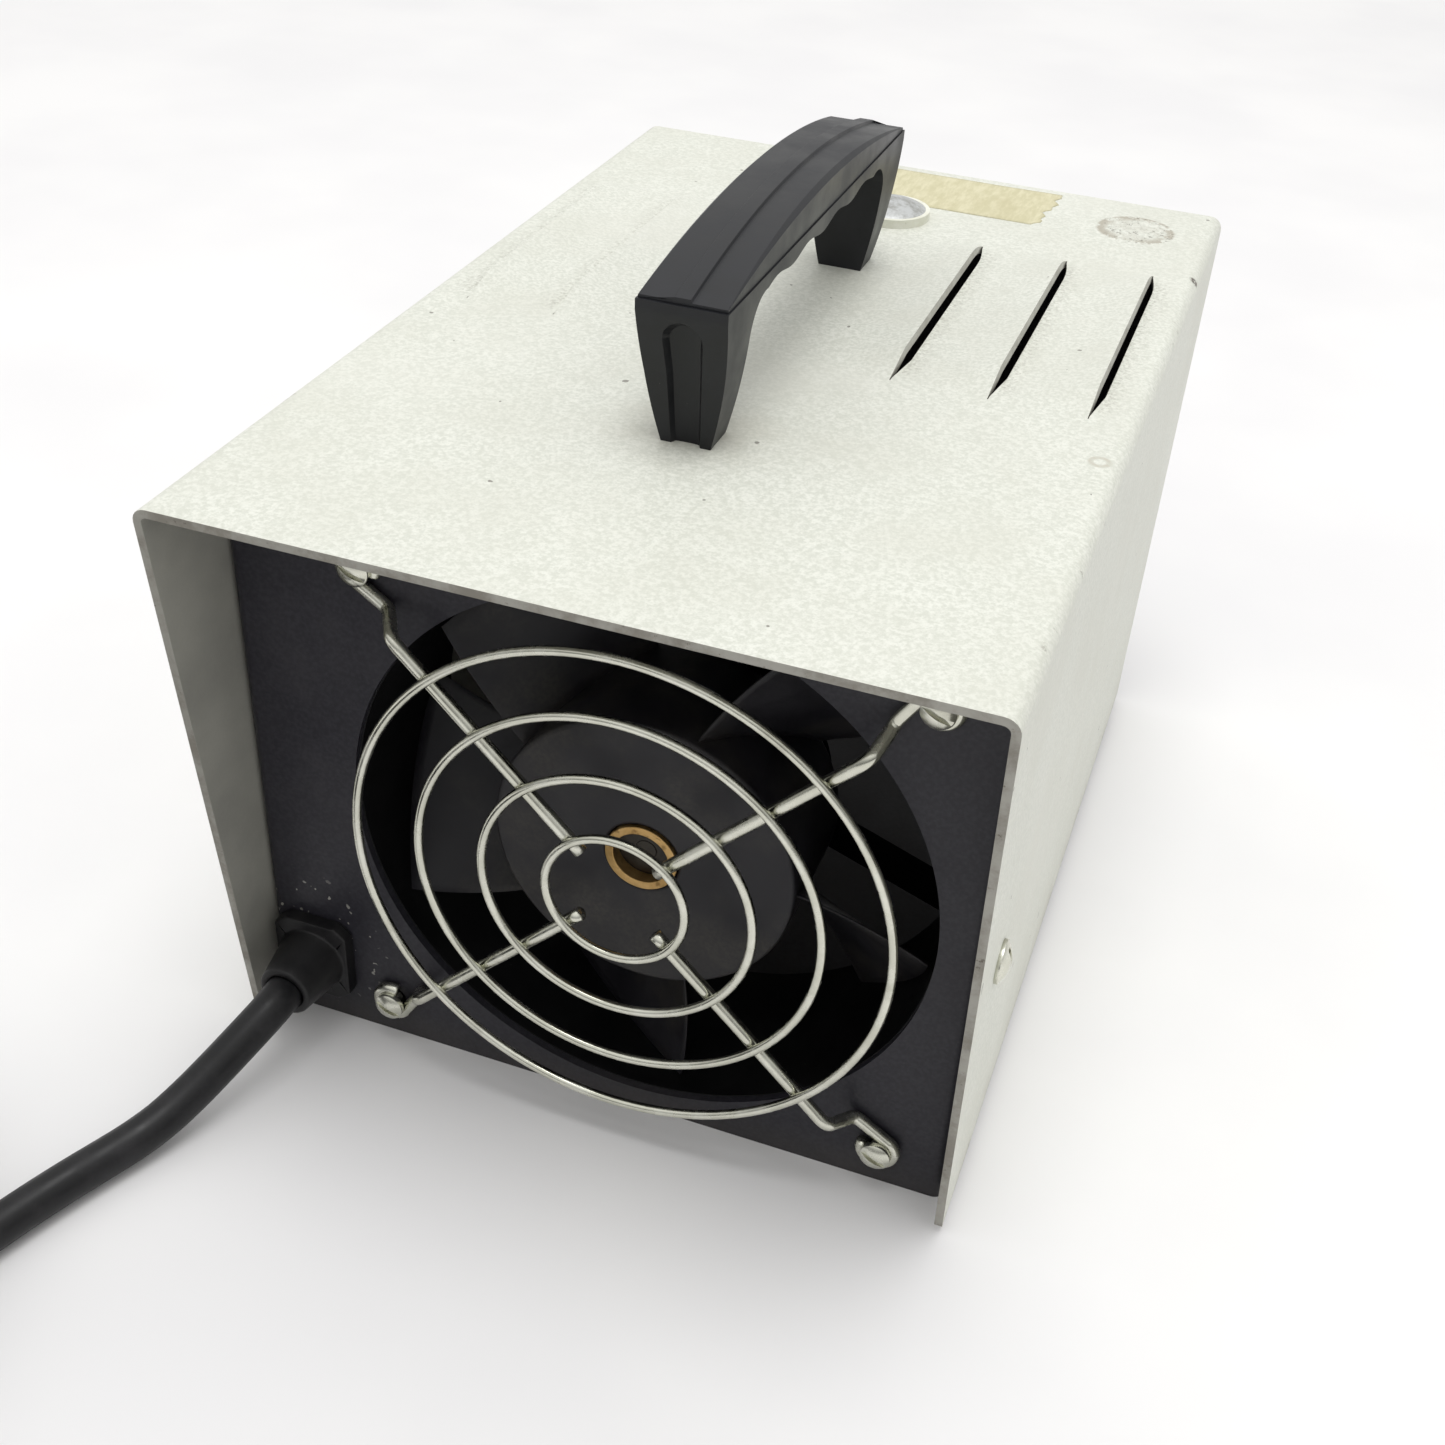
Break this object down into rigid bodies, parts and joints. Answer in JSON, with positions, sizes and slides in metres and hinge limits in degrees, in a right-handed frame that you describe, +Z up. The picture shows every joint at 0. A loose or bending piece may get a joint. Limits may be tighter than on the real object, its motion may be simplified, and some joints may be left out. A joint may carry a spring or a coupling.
{
  "type": "box fan",
  "caption": "Portable cabinet fan: axial fan behind a wire guard in a louvred sheet-metal box with a carrying handle and mains cord.",
  "frame": {"origin": "on the surface it stands on, under the middle of the cover", "axes": "-Y is the front with the finger guard, +X is to the right seen from the front, +Z is up"},
  "size_m": [0.2694, 0.366, 0.1653],
  "materials": {
    "cover_paint": "warm grey enamel, worn at the edges",
    "panel_paint": "dark satin enamel, chipped",
    "plated_steel": "dull zinc plate",
    "handle_plastic": "semi-gloss moulding",
    "strip_plastic": "semi-gloss inlay",
    "bumper_white": "foam pad",
    "bumper_silver": "silvery, soft",
    "tape": "aged adhesive tape",
    "fan_casting": "black enamelled casting",
    "fan_plastic": "dusty dark moulding",
    "lamination": "laminated steel",
    "copper": "enamelled copper wire",
    "bronze": "oiled sintered bronze",
    "brass_trim": "tarnished",
    "rotor_aluminium": "cast",
    "black_nylon": "scuffed",
    "cord_jacket": "soft satin",
    "block_plastic": "ivory moulding",
    "lead_black": "wire insulation",
    "lead_brown": "wire insulation",
    "lead_green": "wire insulation",
    "rocker_red": "gloss moulding",
    "fuse_glass": "clear tube",
    "plug_brass": "polished"
  },
  "bodies": {
    "cabinet": {"base_tray": "panel_paint", "front_panel": "panel_paint", "rear_panel": "panel_paint", "cover": "cover_paint", "cover_screws": "plated_steel", "cover_nuts": "plated_steel", "handle_body": "handle_plastic", "handle_strip": "strip_plastic", "handle_screws": "plated_steel", "handle_washers": "plated_steel", "bumper_pad": "bumper_white", "bumper_dome": "bumper_silver", "tape_strip": "tape", "fan_frame": "fan_casting", "motor_mount": "fan_casting", "stator_core": "lamination", "stator_windings": "copper", "shaft_bearings": "bronze", "fan_terminals": "plated_steel", "guard_rings": "plated_steel", "guard_spokes": "plated_steel", "guard_screws": "plated_steel", "guard_nuts": "plated_steel", "strain_relief": "black_nylon", "inner_lead": "cord_jacket", "terminal_block": "block_plastic", "terminal_screws": "brass_trim", "fan_leads": "lead_black", "switch_leads": "lead_brown", "ground_lead": "lead_green", "ground_screw": "brass_trim", "ground_nut": "brass_trim", "switch_body": "black_nylon", "fuse_holder": "black_nylon", "fuse_cap": "black_nylon", "glass_fuse": "fuse_glass", "power_cord": "cord_jacket", "cord_coil": "cord_jacket", "cord_tie": "black_nylon", "plug_body": "cord_jacket", "plug_blades": "plug_brass", "plug_ground_pin": "plug_brass"},
    "rotor": {"impeller_hub": "fan_plastic", "impeller_blades": "fan_plastic", "hub_ring": "brass_trim", "rotor_cup": "lamination", "rotor_cage": "rotor_aluminium", "rotor_shaft": "plated_steel", "shaft_clip": "plated_steel"},
    "rocker": {"rocker": "rocker_red"}
  },
  "joints": [
    {"name": "fan_spin", "type": "hinge", "parent": "cabinet", "child": "rotor", "pos_m": [0.007, -0.075, 0.0625], "axis": [0, 1, 0], "continuous": true},
    {"name": "rocker_tilt", "type": "hinge", "parent": "cabinet", "child": "rocker", "pos_m": [-0.05, 0.0875, 0.06], "axis": [1, 0, 0], "range_deg": [0, 18]}
  ]
}
